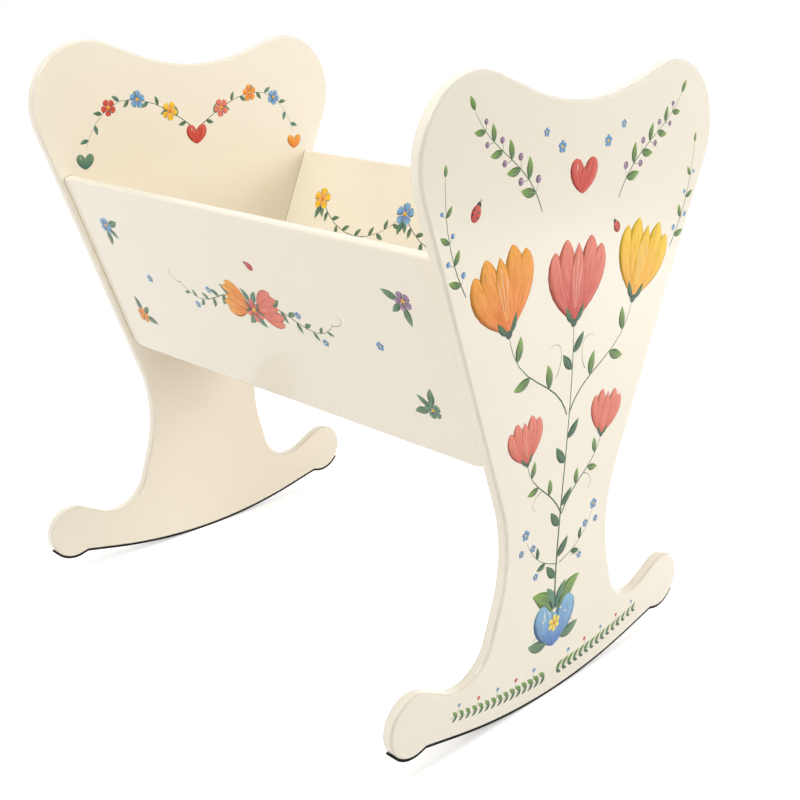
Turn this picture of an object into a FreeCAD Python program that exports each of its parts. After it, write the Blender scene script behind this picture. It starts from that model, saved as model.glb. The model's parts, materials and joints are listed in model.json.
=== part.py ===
import FreeCAD, Part
import math
import os
from collections import namedtuple

# A wooden rocking cradle.
#
# Two end panels, each cut in one piece with its rocker, stand across the cradle. Two slanting
# side boards are dowelled and glued between them, and follow the slope of the panels' flanks.
# A base board for the mattress rests on four cleats inside. Black treads lie under the rockers.
#
# Sizes are in millimetres. X runs across the cradle, Y along it from the foot end to the head
# end, and Z up. The origin is on the floor, under the middle of the cradle.

# Driving sizes of the whole
inside_length = 810.0
panel_thickness = 18.0
edge_round = 4.5
fit_gap = 0.3
overrun = 5.0

# End panel, seen from its face. Its outline is a chain of rounds and hollows, joined by straight
# runs. Heights are above the floor. A gap is the clear space between two rounds of the chain.
lobe_top_height = 917.5
lobe_radius = 104.0
lobe_offset = 208.5
saddle_radius = 367.0
saddle_lobe_gap = 4.6
waist_half_width = 119.5
waist_height = 258.0
waist_radius = 238.0
crotch_radius = 65.0
waist_crotch_gap = 6.6
arm_low_height = 96.5
arm_run = 90.0
knob_height = 82.0
knob_radius = 46.5
notch_radius = 6.5
knob_notch_gap = 1.0
notch_rocker_gap = 2.0

# Treads. The rolling radius is that of the tread's lower face.
rolling_radius = 980.0
tread_thickness = 3.2
tread_inset = 1.8
knob_tread_end_angle = math.radians(-36.0)

# Side boards
side_thickness = 16.0
side_width = 326.0
side_depth_below_base = 41.0
side_inset = 7.5
side_corner_radius = 28.0

# Base board and its air holes
base_top_height = 439.5
base_thickness = 12.0
air_hole_radius = 14.0
air_hole_rows = 3
air_hole_columns = 8
air_hole_row_step = 70.0
air_hole_column_step = 90.0

# Cleats under the base
cleat_width = 26.0
cleat_height = 20.0
end_cleat_depth = 20.0

# Wood screws
screw_length = 30.0
screw_radius = 2.0
screw_head_radius = 4.0
screw_head_height = 2.4
screw_tip_length = 5.0
screw_clearance = 0.1
recess_length = 4.4
recess_width = 1.0
recess_depth = 1.5
cleat_screw_count = 5
end_cleat_screw_count = 2
screw_end_distance = 60.0
end_cleat_screw_distance = 25.0

# Dowels
dowel_radius = 4.0
dowel_length = 36.0
dowel_depth_in_panel = 12.0
dowel_clearance = 0.1
dowel_slope_shares = (0.14, 0.5, 0.86)

Round = namedtuple("Round", "x z radius")

half_inside = inside_length / 2
base_low_height = base_top_height - base_thickness
side_low_height = base_top_height - side_depth_below_base
tread_width = panel_thickness - 2 * tread_inset


def vector(x, y, z):
    return FreeCAD.Vector(x, y, z)


def saddle_over(lobe_round):
    """The hollow between the two lobes, which stands clear of both by its gap."""
    reach = saddle_radius + lobe_round.radius + saddle_lobe_gap
    rise = math.sqrt(reach ** 2 - lobe_round.x ** 2)
    return Round(0, lobe_round.z + rise, -saddle_radius)


def crotch_inside(waist_round):
    """The tighter hollow at the foot of the waist, down to the rocker's arm."""
    height = arm_low_height + crotch_radius
    reach = waist_radius - crotch_radius + waist_crotch_gap
    inset = math.sqrt(reach ** 2 - (waist_round.z - height) ** 2)
    return Round(waist_round.x - inset, height, -crotch_radius)


def notch_between(knob_round, rocker_round):
    """The small hollow under the arm, clear of the knob and of the rocker's arc by its gaps."""
    across = knob_round.x - rocker_round.x
    rise = knob_round.z - rocker_round.z
    distance = math.hypot(across, rise)
    from_knob = knob_round.radius + notch_radius + knob_notch_gap
    from_rocker = rocker_round.radius + notch_radius + notch_rocker_gap
    cosine = (from_rocker ** 2 + distance ** 2 - from_knob ** 2) / (2 * from_rocker * distance)
    angle = math.atan2(rise, across) - math.acos(cosine)
    offset = rocker_round.x + from_rocker * math.cos(angle)
    height = rocker_round.z + from_rocker * math.sin(angle)
    return Round(offset, height, -notch_radius)


# Rounds of the outline's right half. A hollow has a negative radius.
lobe = Round(lobe_offset, lobe_top_height - lobe_radius, lobe_radius)
saddle = saddle_over(lobe)
waist = Round(waist_half_width + waist_radius, waist_height, -waist_radius)
crotch = crotch_inside(waist)
knob = Round(crotch.x + arm_run, knob_height, knob_radius)
rocker = Round(0, rolling_radius, rolling_radius - tread_thickness)
notch = notch_between(knob, rocker)


def mirrored_round(item):
    return Round(-item.x, item.z, item.radius)


def grown_round(item):
    """The same round, one tread's thickness further out."""
    return Round(item.x, item.z, item.radius + tread_thickness)


def tangent(first, second):
    """The straight run from one round to the next, as the point where it leaves and where it meets.

    Both points share one outward normal. Its part along the line of centres is the difference
    of the radii over the distance, and the rest of it points to the left of the way round.
    """
    across = second.x - first.x
    rise = second.z - first.z
    distance = math.hypot(across, rise)
    along = (first.radius - second.radius) / distance
    left = math.sqrt(1 - along * along)
    normal_x = (across * along - rise * left) / distance
    normal_z = (rise * along + across * left) / distance
    leave = vector(first.x + first.radius * normal_x, 0, first.z + first.radius * normal_z)
    meet = vector(second.x + second.radius * normal_x, 0, second.z + second.radius * normal_z)
    return leave, meet


def on_round(item, angle):
    radius = abs(item.radius)
    return vector(item.x + radius * math.cos(angle), 0, item.z + radius * math.sin(angle))


def arc(item, start, end):
    """The stretch of a round between two points, the way the clockwise outline runs over it."""
    first = math.atan2(start.z - item.z, start.x - item.x)
    last = math.atan2(end.z - item.z, end.x - item.x)
    full_turn = 2 * math.pi
    if item.radius > 0:
        sweep = -((first - last) % full_turn)
    else:
        sweep = (last - first) % full_turn
    return Part.Arc(start, on_round(item, first + sweep / 2), end).toShape()


def line(start, end):
    return Part.LineSegment(start, end).toShape()


def plate(edges, start_y, thickness):
    """A flat plate whose outline is these edges, from start_y towards the head end."""
    face = Part.Face(Part.Wire(edges))
    solid = face.extrude(vector(0, thickness, 0))
    solid.translate(vector(0, start_y, 0))
    return solid


def polygon_plate(points, start_y, thickness):
    """A prism along Y over a list of (x, z) corners."""
    corners = [vector(x, 0, z) for x, z in points]
    edges = [line(a, b) for a, b in zip(corners, corners[1:] + corners[:1])]
    return plate(edges, start_y, thickness)


def mirrored(shape):
    """The same shape on the other side of the cradle's long middle plane."""
    return shape.mirror(vector(0, 0, 0), vector(1, 0, 0))


def turned_end(shape):
    """The same shape at the other end of the cradle."""
    return shape.mirror(vector(0, 0, 0), vector(0, 1, 0))


def facing(shape, place, direction):
    """A shape modelled down the -Z axis, turned to point along direction and moved to place."""
    copy = shape.copy()
    copy.Placement = FreeCAD.Placement(place, FreeCAD.Rotation(vector(0, 0, -1), direction))
    return copy


def even_places(count, end_distance, half_span):
    """Places spaced evenly over a span that is centred on zero, with a distance left at each end."""
    first = end_distance - half_span
    step = 2 * (half_span - end_distance) / (count - 1)
    return [first + step * index for index in range(count)]


# Slope of the flank, from the tangent between the lobe and the waist
flank_top, flank_foot = tangent(lobe, waist)
flank_run = flank_top - flank_foot
slope_x = flank_run.x / flank_run.Length
slope_z = flank_run.z / flank_run.Length
up_slope = vector(slope_x, 0, slope_z)
outward = vector(slope_z, 0, -slope_x)


def slope_offset(height, depth):
    """Distance from the middle plane to a plane that lies depth inside the flank, at a height."""
    return flank_foot.x + (height - flank_foot.z) * slope_x / slope_z - depth / slope_z


def inner_offset(height):
    """Distance from the middle plane to a side board's inner face."""
    return slope_offset(height, side_inset + side_thickness)


side_low_corner = vector(slope_offset(side_low_height, side_inset), 0, side_low_height)


def dowel_places():
    """Middle of each dowel hole in the right side board's end grain."""
    middle = side_low_corner - outward * (side_thickness / 2)
    return [middle + up_slope * (side_width * share) for share in dowel_slope_shares]


def dowel_rod(place, extra):
    """A dowel at the foot end, or its hole where extra is the clearance round it."""
    start = place + vector(0, -half_inside - dowel_depth_in_panel - extra, 0)
    return Part.makeCylinder(dowel_radius + extra, dowel_length + 2 * extra, start, vector(0, 1, 0))


def right_foot_dowel_holes():
    return [dowel_rod(place, dowel_clearance) for place in dowel_places()]


def screw_body(extra):
    """A countersunk wood screw down the -Z axis, or its hole where extra is the clearance."""
    down = vector(0, 0, -1)
    shank_radius = screw_radius + extra
    head = Part.makeCone(screw_head_radius + extra, shank_radius, screw_head_height, vector(0, 0, 0), down)
    shank_length = screw_length - screw_head_height - screw_tip_length
    shank = Part.makeCylinder(shank_radius, shank_length, vector(0, 0, -screw_head_height), down)
    tip_place = vector(0, 0, -screw_head_height - shank_length)
    tip = Part.makeCone(shank_radius, 0, screw_tip_length + extra, tip_place, down)
    return head.fuse(shank).fuse(tip).removeSplitter()


def wood_screw():
    """A screw with a cross recess in its head."""
    body = screw_body(0)
    corner = vector(-recess_length / 2, -recess_width / 2, -recess_depth)
    bar = Part.makeBox(recess_length, recess_width, recess_depth, corner)
    other_bar = bar.copy()
    other_bar.rotate(vector(0, 0, 0), vector(0, 0, 1), 90)
    return body.cut(bar).cut(other_bar)


def base_screw_seats():
    """Place and direction of the screws that go down through the base into the side cleats."""
    across = inner_offset(base_low_height) - cleat_width / 2
    lengthways = even_places(cleat_screw_count, screw_end_distance, half_inside)
    between = [(a + b) / 2 for a, b in zip(lengthways, lengthways[1:])]
    return [(vector(side * across, y, base_top_height), vector(0, 0, -1)) for side in (-1, 1) for y in between]


def side_cleat_screw_seats():
    """Place and direction of the screws through the side cleats into the side boards."""
    across = inner_offset(base_low_height) - cleat_width
    height = base_low_height - cleat_height / 2
    lengthways = even_places(cleat_screw_count, screw_end_distance, half_inside)
    return [(vector(side * across, y, height), vector(side, 0, 0)) for side in (-1, 1) for y in lengthways]


def end_cleat_half_length():
    return inner_offset(base_low_height) - cleat_width - fit_gap


def end_cleat_screw_seats():
    """Place and direction of the screws through the end cleats into the end panels."""
    height = base_low_height - cleat_height / 2
    depth = half_inside - end_cleat_depth
    across = even_places(end_cleat_screw_count, end_cleat_screw_distance, end_cleat_half_length())
    return [(vector(x, end * depth, height), vector(0, end, 0)) for end in (-1, 1) for x in across]


def screw_holes(seats):
    hole = screw_body(screw_clearance)
    return [facing(hole, place, direction) for place, direction in seats]


def screws(seats):
    screw = wood_screw()
    return Part.makeCompound([facing(screw, place, direction) for place, direction in seats])


def panel_outline():
    """Edges of the end panel's outline, clockwise from the saddle."""
    right = [lobe, waist, crotch, knob, notch]
    left = [mirrored_round(item) for item in reversed(right)]
    belt = [saddle] + right + [rocker] + left
    runs = [tangent(a, b) for a, b in zip(belt, belt[1:] + belt[:1])]
    edges = []
    for index, item in enumerate(belt):
        start = runs[index - 1][1]
        leave, meet = runs[index]
        edges.append(arc(item, start, leave))
        edges.append(line(leave, meet))
    return edges


def foot_end_panel():
    """The end board with its rocker, softly rounded along both faces, and bored for the dowels."""
    blank = plate(panel_outline(), -half_inside - panel_thickness, panel_thickness)
    rim = [edge for edge in blank.Edges if edge.BoundBox.YLength < edge_round]
    panel = blank.makeFillet(edge_round, rim)
    holes = right_foot_dowel_holes()
    holes += [mirrored(hole) for hole in holes]
    holes += screw_holes(end_cleat_screw_seats())
    return panel.cut(holes)


def on_side_board(along, rise):
    """A point on the right side board's outer face, so far from its middle and up from its low edge."""
    return side_low_corner + up_slope * rise + vector(0, along, 0)


def low_corner_arc(end, reach):
    """The quarter round at one low corner of a board that reaches this far from its middle."""
    centre = reach - side_corner_radius
    shift = side_corner_radius * math.sqrt(1 / 2)
    start = on_side_board(end * centre, 0)
    middle = on_side_board(end * (centre + shift), side_corner_radius - shift)
    return Part.Arc(start, middle, on_side_board(end * reach, side_corner_radius)).toShape()


def right_side_board():
    """A board on the slope of the flank, rounded all round its faces and then cut to length."""
    reach = half_inside + overrun
    centre = reach - side_corner_radius
    edges = [
        line(on_side_board(-centre, 0), on_side_board(centre, 0)),
        low_corner_arc(1, reach),
        line(on_side_board(reach, side_corner_radius), on_side_board(reach, side_width)),
        line(on_side_board(reach, side_width), on_side_board(-reach, side_width)),
        line(on_side_board(-reach, side_width), on_side_board(-reach, side_corner_radius)),
        low_corner_arc(-1, reach),
    ]
    face = Part.Face(Part.Wire(edges))
    blank = face.extrude(outward * -side_thickness)
    rim = [edge for edge in blank.Edges if lies_along_a_face(edge)]
    rounded = blank.makeFillet(edge_round, rim)
    corner = vector(0, -half_inside, 0)
    stock = Part.makeBox(lobe_offset + lobe_radius, inside_length, lobe_top_height, corner)
    holes = right_foot_dowel_holes()
    holes += [turned_end(hole) for hole in holes]
    holes += screw_holes(side_cleat_screw_seats())
    return rounded.common(stock).cut(holes)


def lies_along_a_face(edge):
    """True for a side board's edges along its two faces, false for those through its thickness."""
    start, end = (vertex.Point for vertex in edge.Vertexes)
    return abs((end - start).dot(outward)) < side_thickness / 2


def base_board():
    """The board under the mattress, with bevelled long edges, air holes and screw holes."""
    top = inner_offset(base_top_height) - fit_gap
    low = inner_offset(base_low_height) - fit_gap
    section = [(-top, base_top_height), (top, base_top_height), (low, base_low_height), (-low, base_low_height)]
    board = polygon_plate(section, fit_gap - half_inside, inside_length - 2 * fit_gap)
    tools = screw_holes(base_screw_seats())
    for row in range(air_hole_rows):
        across = (row - (air_hole_rows - 1) / 2) * air_hole_row_step
        for column in range(air_hole_columns):
            along = (column - (air_hole_columns - 1) / 2) * air_hole_column_step
            place = vector(across, along, base_low_height - overrun)
            tools.append(Part.makeCylinder(air_hole_radius, base_thickness + 2 * overrun, place))
    return board.cut(tools)


def right_base_cleat():
    """A batten with one face on the side board's slope and its level top under the base."""
    low_height = base_low_height - cleat_height
    face = inner_offset(base_low_height) - cleat_width
    section = [
        (face, base_low_height),
        (inner_offset(base_low_height), base_low_height),
        (inner_offset(low_height), low_height),
        (face, low_height),
    ]
    cleat = polygon_plate(section, fit_gap - half_inside, inside_length - 2 * fit_gap)
    return cleat.cut(screw_holes(side_cleat_screw_seats() + base_screw_seats()))


def foot_base_cleat():
    """A batten on the end panel's inner face, between the two side cleats."""
    half = end_cleat_half_length()
    corner = vector(-half, -half_inside, base_low_height - cleat_height)
    cleat = Part.makeBox(2 * half, end_cleat_depth, cleat_height, corner)
    return cleat.cut(screw_holes(end_cleat_screw_seats()))


def joint_dowels():
    """Three dowels in each of the four joints between a side board and an end panel."""
    right_foot = [dowel_rod(place, 0) for place in dowel_places()]
    foot = right_foot + [mirrored(rod) for rod in right_foot]
    return Part.makeCompound(foot + [turned_end(rod) for rod in foot])


def tread_start():
    return tread_inset - half_inside - panel_thickness


def short_of(end, start):
    """The point one fit gap before the end of a straight run."""
    return end + (start - end).normalize() * fit_gap


def foot_rocker_tread():
    """The strip under the rocker's arc, which stops one fit gap short of the strips in the notches."""
    left_notch = mirrored_round(notch)
    right_end, arc_start = tangent(notch, rocker)
    arc_end, left_end = tangent(rocker, left_notch)
    rolling = grown_round(rocker)
    low_right_end, low_arc_start = tangent(grown_round(notch), rolling)
    low_arc_end, low_left_end = tangent(rolling, grown_round(left_notch))
    right, left = short_of(right_end, arc_start), short_of(left_end, arc_end)
    low_right, low_left = short_of(low_right_end, low_arc_start), short_of(low_left_end, low_arc_end)
    edges = [
        line(right, arc_start),
        arc(rocker, arc_start, arc_end),
        line(arc_end, left),
        line(left, low_left),
        line(low_left, low_arc_end),
        arc(rolling, low_arc_start, low_arc_end),
        line(low_arc_start, low_right),
        line(low_right, right),
    ]
    return plate(Part.__sortEdges__(edges), tread_start(), tread_width)


def foot_right_knob_tread():
    """The strip round the underside of the knob and through the notch."""
    outer, low_notch = grown_round(knob), grown_round(notch)
    start = on_round(knob, knob_tread_end_angle)
    low_start = on_round(outer, knob_tread_end_angle)
    leave, meet = tangent(knob, notch)
    low_leave, low_meet = tangent(outer, low_notch)
    end = tangent(notch, rocker)[0]
    low_end = tangent(low_notch, grown_round(rocker))[0]
    edges = [
        arc(knob, start, leave),
        line(leave, meet),
        arc(notch, meet, end),
        line(end, low_end),
        arc(low_notch, low_meet, low_end),
        line(low_leave, low_meet),
        arc(outer, low_start, low_leave),
        line(low_start, start),
    ]
    return plate(Part.__sortEdges__(edges), tread_start(), tread_width)


def build():
    """Every piece by its node's name."""
    foot_panel = foot_end_panel()
    right_board = right_side_board()
    right_cleat = right_base_cleat()
    foot_cleat = foot_base_cleat()
    rocker_tread = foot_rocker_tread()
    knob_tread = foot_right_knob_tread()
    return {
        "foot_end_panel": foot_panel,
        "head_end_panel": turned_end(foot_panel),
        "right_side_board": right_board,
        "left_side_board": mirrored(right_board),
        "base_board": base_board(),
        "right_base_cleat": right_cleat,
        "left_base_cleat": mirrored(right_cleat),
        "foot_base_cleat": foot_cleat,
        "head_base_cleat": turned_end(foot_cleat),
        "cleat_screws": screws(side_cleat_screw_seats() + end_cleat_screw_seats()),
        "base_screws": screws(base_screw_seats()),
        "joint_dowels": joint_dowels(),
        "foot_rocker_tread": rocker_tread,
        "head_rocker_tread": turned_end(rocker_tread),
        "foot_right_knob_tread": knob_tread,
        "foot_left_knob_tread": mirrored(knob_tread),
        "head_right_knob_tread": turned_end(knob_tread),
        "head_left_knob_tread": turned_end(mirrored(knob_tread)),
    }


os.makedirs("parts", exist_ok=True)
for name, shape in build().items():
    shape.exportStep(os.path.join("parts", name + ".step"))
    box = shape.BoundBox
    print(f"{name}: {len(shape.Solids)} solid(s), {box.XLength:.1f} x {box.YLength:.1f} x {box.ZLength:.1f} mm")
print(f"slope of the sides from upright: {math.degrees(math.atan2(slope_x, slope_z)):.2f} degrees")
print(f"inside width at the base: {2 * inner_offset(base_top_height):.1f} mm")
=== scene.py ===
"""A painted wooden rocking cradle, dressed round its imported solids.

Lengths inside the classes are millimetres unless a docstring says metres, and angles are degrees.
Each painted motif is laid out on a flat face of the cradle, in that face's own two directions.
"""

import json
import logging
import math
from dataclasses import dataclass, replace
from enum import Enum
from functools import cache
from typing import Iterable

import bpy
import numpy as np
from mathutils import Matrix

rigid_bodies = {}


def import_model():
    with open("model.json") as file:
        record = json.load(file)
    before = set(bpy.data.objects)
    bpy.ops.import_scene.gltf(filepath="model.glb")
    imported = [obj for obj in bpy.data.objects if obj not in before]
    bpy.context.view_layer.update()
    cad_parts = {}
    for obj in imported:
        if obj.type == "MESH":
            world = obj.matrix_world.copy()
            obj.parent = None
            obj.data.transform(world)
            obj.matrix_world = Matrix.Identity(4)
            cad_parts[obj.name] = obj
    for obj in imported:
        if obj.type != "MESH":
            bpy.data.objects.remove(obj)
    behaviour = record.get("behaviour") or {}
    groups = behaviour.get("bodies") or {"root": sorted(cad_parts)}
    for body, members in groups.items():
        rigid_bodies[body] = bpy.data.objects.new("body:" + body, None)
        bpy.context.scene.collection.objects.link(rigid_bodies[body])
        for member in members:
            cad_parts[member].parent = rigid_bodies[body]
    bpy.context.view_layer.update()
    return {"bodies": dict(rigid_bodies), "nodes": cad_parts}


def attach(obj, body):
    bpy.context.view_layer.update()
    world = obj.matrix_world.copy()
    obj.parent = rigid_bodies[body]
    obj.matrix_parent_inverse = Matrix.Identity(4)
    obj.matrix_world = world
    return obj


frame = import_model()

log = logging.getLogger("cradle")

MM = 0.001
BODY = "root"
SIDES = ((-1, "left"), (1, "right"))
ENDS = ((-1, "foot"), (1, "head"))

Array = np.ndarray
Thing = bpy.types.Object
Socket = bpy.types.NodeSocket
Triple = tuple[float, float, float]
Point = tuple[float, float]
Path = tuple[Point, Point, Point, Point]


# Sizes of the cradle that the painted pieces lie on


@dataclass(frozen=True)
class CradleSizes:
    """The solids' sizes that the painting and the joint lines follow."""

    half_inside: float = 405.0
    panel_thickness: float = 18.0
    rolling_radius: float = 980.0
    side_thickness: float = 16.0
    side_width: float = 326.0
    side_low_height: float = 398.5
    side_low_offset: float = 148.97
    side_slope: float = 21.47
    edge_round: float = 4.5
    low_corner_radius: float = 28.0
    length_overrun: float = 5.0

    def side_board(self, side: int) -> tuple[Array, Array, Array]:
        """Places a side board.

        Args:
            side: -1 for the left board and 1 for the right one.

        Returns:
            The middle of its low outer edge, the way out of its outer face, and the way up it.
        """
        slope = math.radians(self.side_slope)
        low = np.array([side * self.side_low_offset, 0.0, self.side_low_height])
        out = np.array([side * math.cos(slope), 0.0, -math.sin(slope)])
        return low, out, np.array([side * math.sin(slope), 0.0, math.cos(slope)])


SIZES = CradleSizes()


# Meshes


def linear(colour: Triple) -> Array:
    """Returns a screen colour as linear light: c / 12.92 near black, or ((c + 0.055) / 1.055)^2.4."""
    values = np.asarray(colour, float)
    return np.where(values <= 0.04045, values / 12.92, ((values + 0.055) / 1.055) ** 2.4)


def mesh_object(name: str, points: Array, faces: list[list[int]]) -> Thing:
    """Makes a smooth mesh object at the origin.

    Args:
        name: the object's name.
        points: places of the vertices in metres, in a last axis of three.
        faces: corner numbers of each face.

    Returns:
        The linked object.
    """
    mesh = bpy.data.meshes.new(name)
    mesh.from_pydata(points.reshape(-1, 3), [], faces)
    mesh.validate()
    mesh.shade_smooth()
    thing = bpy.data.objects.new(name, mesh)
    bpy.context.scene.collection.objects.link(thing)
    return thing


def circle(points: int) -> Array:
    """Returns the angles of evenly spaced points round a circle, in radians."""
    return np.arange(points) * 2 * np.pi / points


def ring_faces(rings: int, around: int, closed: bool) -> list[list[int]]:
    """Numbers the quads of a tube of rings, so that they face outwards.

    Args:
        rings: how many rings the tube has.
        around: how many points each ring has.
        closed: whether the last ring joins the first.

    Returns:
        The corner numbers of each quad: along a ring, then on to the next ring.
    """
    last = rings if closed else rings - 1
    ring, point = np.meshgrid(np.arange(last), np.arange(around), indexing="ij")
    here, beyond, after = ring * around, (ring + 1) % rings * around, (point + 1) % around
    corners = [here + point, here + after, beyond + after, beyond + point]
    return np.stack(corners, axis=-1).reshape(-1, 4).tolist()


def bezier(paths: Array, share: Array | float) -> tuple[Array, Array]:
    """Finds places on cubic curves: the control points times the Bernstein weights.

    Args:
        paths: the four control points of each curve, in the last two axes.
        share: from 0 at the start to 1 at the end.

    Returns:
        The places, and a third of the slopes there.
    """
    rest = 1 - share
    weights = [rest**3, 3 * rest**2 * share, 3 * rest * share**2, share**3]
    slopes = [-(rest**2), rest**2 - 2 * rest * share, 2 * rest * share - share**2, share**2]
    return np.stack(weights, axis=-1) @ paths, np.stack(slopes, axis=-1) @ paths


# Shader nodes

FLOAT = "NodeSocketFloat"
VECTOR = "NodeSocketVector"
COLOUR = "NodeSocketColor"
WHITE = (1.0, 1.0, 1.0, 1.0)


class Graph:
    """A node tree with short calls for adding and joining nodes."""

    def __init__(self, tree: bpy.types.NodeTree) -> None:
        """Starts on an empty tree."""
        self.tree = tree
        self.tree.nodes.clear()

    def node(self, kind: str, values: dict | None = None, **settings: object) -> bpy.types.Node:
        """Adds a node.

        Args:
            kind: the node's class name.
            values: socket name or number to another node's output or to a value. A colour of
                three parts is a screen colour, and one of four parts is linear already.
            settings: properties of the node itself.

        Returns:
            The new node.
        """
        made = self.tree.nodes.new(kind)
        for key, value in settings.items():
            setattr(made, key, value)
        for key, value in (values or {}).items():
            given = made.inputs[key]
            if isinstance(value, Socket):
                self.tree.links.new(value, given)
            elif given.type == "RGBA" and len(value) == 3:
                given.default_value = (*linear(value), 1.0)
            else:
                given.default_value = value
        return made

    def out(self, kind: str, values: dict | None = None, output: int | str = 0, **more: object) -> Socket:
        """Adds a node with more of its settings by name, and returns one of its outputs."""
        return self.node(kind, values, **more).outputs[output]

    def effect(self, group: bpy.types.NodeTree, *values: object) -> bpy.types.bpy_prop_collection:
        """Places a shared effect with values for its inputs in order, and returns its outputs."""
        return self.node("ShaderNodeGroup", dict(enumerate(values)), node_tree=group).outputs

    def place(self) -> Socket:
        """Returns the Object coordinates."""
        return self.out("ShaderNodeTexCoord", output="Object")

    def part(self, vector: object, axis: str) -> Socket:
        """Returns one part of a vector."""
        return self.out("ShaderNodeSeparateXYZ", {0: vector}, axis)

    def math(self, operation: str, *values: object, clamp: bool = False) -> Socket:
        """Returns the result of a Math node over the values or sockets given."""
        return self.out("ShaderNodeMath", dict(enumerate(values)), operation=operation, use_clamp=clamp)

    def product(self, first: object, *others: object) -> Socket:
        """Multiplies values or sockets.

        Args:
            first: the first of them.
            others: the others.

        Returns:
            The product's socket.
        """
        for other in others:
            first = self.math("MULTIPLY", first, other)
        return first

    def scaled(self, vector: object, scale: object) -> Socket:
        """Returns a vector multiplied by another, part by part."""
        return self.out("ShaderNodeVectorMath", {0: vector, 1: scale}, operation="MULTIPLY")

    def noise(self, vector: object, scale: float, detail: float, roughness: float = 0.5) -> Socket:
        """Returns a noise value between 0 and 1 over the vector."""
        values = {"Vector": vector, "Scale": scale, "Detail": detail, "Roughness": roughness}
        return self.out("ShaderNodeTexNoise", values)

    def remap(
        self, value: Socket, low: float, high: float, to_low: object = 0.0, to_high: float = 1.0
    ) -> Socket:
        """Returns the value mapped from one range to another and held within it."""
        values = {"Value": value, "From Min": low, "From Max": high, "To Min": to_low, "To Max": to_high}
        return self.out("ShaderNodeMapRange", values, clamp=True)

    def mix(self, amount: object, first: object, second: object, blend: str = "MIX") -> Socket:
        """Returns the first colour with a share of the second laid over it."""
        values = {0: amount, 6: first, 7: second}
        return self.out("ShaderNodeMix", values, 2, data_type="RGBA", blend_type=blend)


def graph_in(owner: bpy.types.Material | bpy.types.World) -> Graph:
    """Returns a new graph in a material or a world."""
    owner.use_nodes = True
    return Graph(owner.node_tree)


class EffectGroup(Graph):
    """A shader node group with named sockets, built once and placed in each material."""

    def __init__(self, name: str, inputs: dict[str, str], outputs: dict[str, str]) -> None:
        """Starts the group.

        Args:
            name: the group's name.
            inputs: socket type of each input by its name.
            outputs: socket type of each output by its name.
        """
        group = bpy.data.node_groups.new(name, "ShaderNodeTree")
        for way, sockets in (("INPUT", inputs), ("OUTPUT", outputs)):
            for label, kind in sockets.items():
                group.interface.new_socket(label, in_out=way, socket_type=kind)
        super().__init__(group)
        self.given = self.node("NodeGroupInput").outputs[: len(inputs)]

    def finished(self, **results: Socket) -> bpy.types.NodeTree:
        """Joins the results to the group's outputs, and returns the group."""
        self.node("NodeGroupOutput", results)
        return self.tree


@cache
def brushed_film() -> bpy.types.NodeTree:
    """Builds the look of gloss paint laid on with a brush.

    Cloudy noise drifts the colour towards the warm one. Noise that is stretched along the brush's
    way gives fine furrows, finer noise gives the ripple of the film, and sparse peaks of a third
    noise give specks of dust caught in it.

    Returns:
        A group that puts out colour, roughness and height.
    """
    inputs = {"Vector": VECTOR, "Stretch": VECTOR, "Colour": COLOUR, "Warm": COLOUR, "Dust": COLOUR}
    outputs = {"Colour": COLOUR, "Roughness": FLOAT, "Height": FLOAT}
    group = EffectGroup("brushed paint film", inputs, outputs)
    where, stretch, colour, warm, dust = group.given
    clouds = group.remap(group.noise(where, scale=2.6, detail=3.0), 0.35, 0.7)
    toned = group.mix(group.product(clouds, 0.6), colour, warm)
    furrows = group.noise(group.scaled(where, stretch), scale=1.0, detail=3.0)
    ripple = group.noise(where, scale=130.0, detail=2.0)
    specks = group.remap(group.noise(where, scale=330.0, detail=1.0), 0.80, 0.83)
    dusty = group.mix(group.product(specks, 0.45), toned, dust)
    streaky = group.mix(group.remap(furrows, 0.3, 0.8, 0.0, 0.05), dusty, warm)
    roughness = group.remap(group.math("ADD", furrows, group.product(ripple, 0.4)), 0.4, 1.0, 0.17, 0.26)
    height = group.math("ADD", group.product(furrows, 0.5), group.product(ripple, 0.5))
    return group.finished(Colour=streaky, Roughness=roughness, Height=height)


@cache
def floor_scuffs() -> bpy.types.NodeTree:
    """Builds the rubbed look of paint near the floor.

    Streaky noise is cut to its peaks and fades out with height above the floor, so the low ends
    carry faint grey marks. The colour also turns a little darker towards the floor.

    Returns:
        A group that puts out colour and the mask of the marks.
    """
    inputs = {"Vector": VECTOR, "Colour": COLOUR, "Mark": COLOUR, "Reach": FLOAT, "Strength": FLOAT}
    group = EffectGroup("floor scuffs", inputs, {"Colour": COLOUR, "Mask": FLOAT})
    where, colour, mark, reach, strength = group.given
    share = group.math("DIVIDE", group.part(where, "Z"), reach)
    nearness = group.math("POWER", group.math("SUBTRACT", 1.0, share, clamp=True), 1.6)
    streaks = group.noise(group.scaled(where, (30.0, 30.0, 110.0)), scale=1.0, detail=4.0, roughness=0.65)
    mask = group.product(group.remap(streaks, 0.54, 0.72), nearness, strength)
    # The colour turns a little darker towards the floor, besides the grey marks.
    darker_low = group.mix(group.product(nearness, 0.04), colour, mark)
    return group.finished(Colour=group.mix(mask, darker_low, mark), Mask=mask)


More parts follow.
